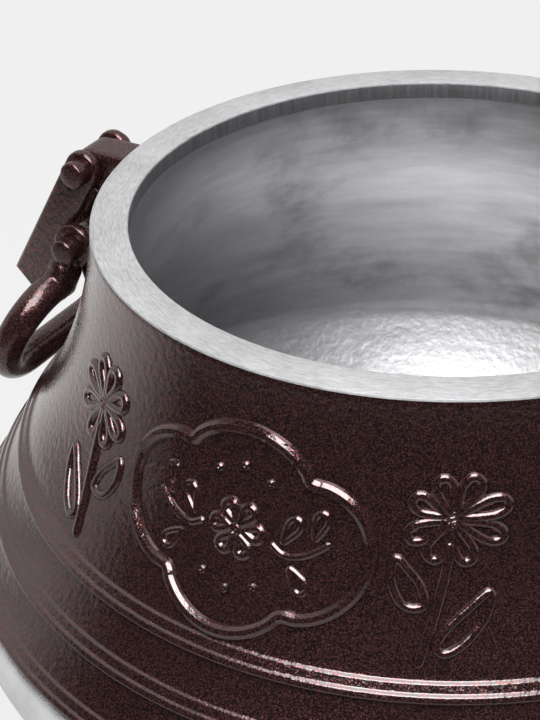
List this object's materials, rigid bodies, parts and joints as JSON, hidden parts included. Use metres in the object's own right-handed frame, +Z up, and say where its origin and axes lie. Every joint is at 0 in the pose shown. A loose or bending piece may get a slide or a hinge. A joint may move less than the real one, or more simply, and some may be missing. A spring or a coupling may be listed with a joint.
{
  "type": "pressure cooker",
  "caption": "Cast pressure-cooker pot with a wide belly, flat machined rim, swinging fork clamps, ring handles and a loose domed lid with a weighted steam valve.",
  "frame": {"origin": "centre of the pot's flat base", "axes": "+Z up through the mouth, X through the two clamps and ring handles, -Y towards the ornamented front and +Y towards the loose lid"},
  "size_m": [0.3168, 0.545, 0.192],
  "materials": {
    "enamelled_casting": "cast aluminium in dark brown hammer enamel outside, bare and turned at the rim and inside",
    "painted_steel": "dark brown gloss enamel",
    "rubber": "matt",
    "phenolic": "semi-gloss",
    "steel": "turned",
    "brass": "turned"
  },
  "bodies": {
    "pot": {"pot_body": "enamelled_casting", "left_clamp_pin": "painted_steel", "right_clamp_pin": "painted_steel", "left_ring_pin": "painted_steel", "right_ring_pin": "painted_steel"},
    "left_clamp": {"left_clamp_fork": "painted_steel"},
    "right_clamp": {"right_clamp_fork": "painted_steel"},
    "left_ring": {"left_ring_handle": "painted_steel"},
    "right_ring": {"right_ring_handle": "painted_steel"},
    "lid": {"lid_shell": "enamelled_casting", "lid_gasket": "rubber", "lid_grip": "phenolic", "grip_washers": "steel", "grip_screws": "steel", "steam_nozzle": "brass", "nozzle_seal": "rubber", "nozzle_nut": "brass", "safety_bush": "brass", "safety_plug": "rubber"},
    "weight": {"regulator_weight": "steel", "weight_cap": "phenolic"}
  },
  "joints": [
    {"name": "left_clamp_swing", "type": "hinge", "parent": "pot", "child": "left_clamp", "pos_m": [-0.1262, 0, 0.1794], "axis": [0, 1, 0], "range_deg": [0, 189]},
    {"name": "right_clamp_swing", "type": "hinge", "parent": "pot", "child": "right_clamp", "pos_m": [0.1262, 0, 0.1794], "axis": [0, -1, 0], "range_deg": [0, 189]},
    {"name": "left_ring_swing", "type": "hinge", "parent": "pot", "child": "left_ring", "pos_m": [-0.1288, 0, 0.1525], "axis": [0, 1, 0], "range_deg": [-3, 85]},
    {"name": "right_ring_swing", "type": "hinge", "parent": "pot", "child": "right_ring", "pos_m": [0.1288, 0, 0.1525], "axis": [0, -1, 0], "range_deg": [-3, 85]},
    {"name": "lid_lift", "type": "slide", "parent": "pot", "child": "lid", "axis": [0, 0, 1], "range_m": [0, 0.25]},
    {"name": "weight_lift", "type": "slide", "parent": "lid", "child": "weight", "axis": [0, 0, 1], "range_m": [0, 0.03]}
  ]
}
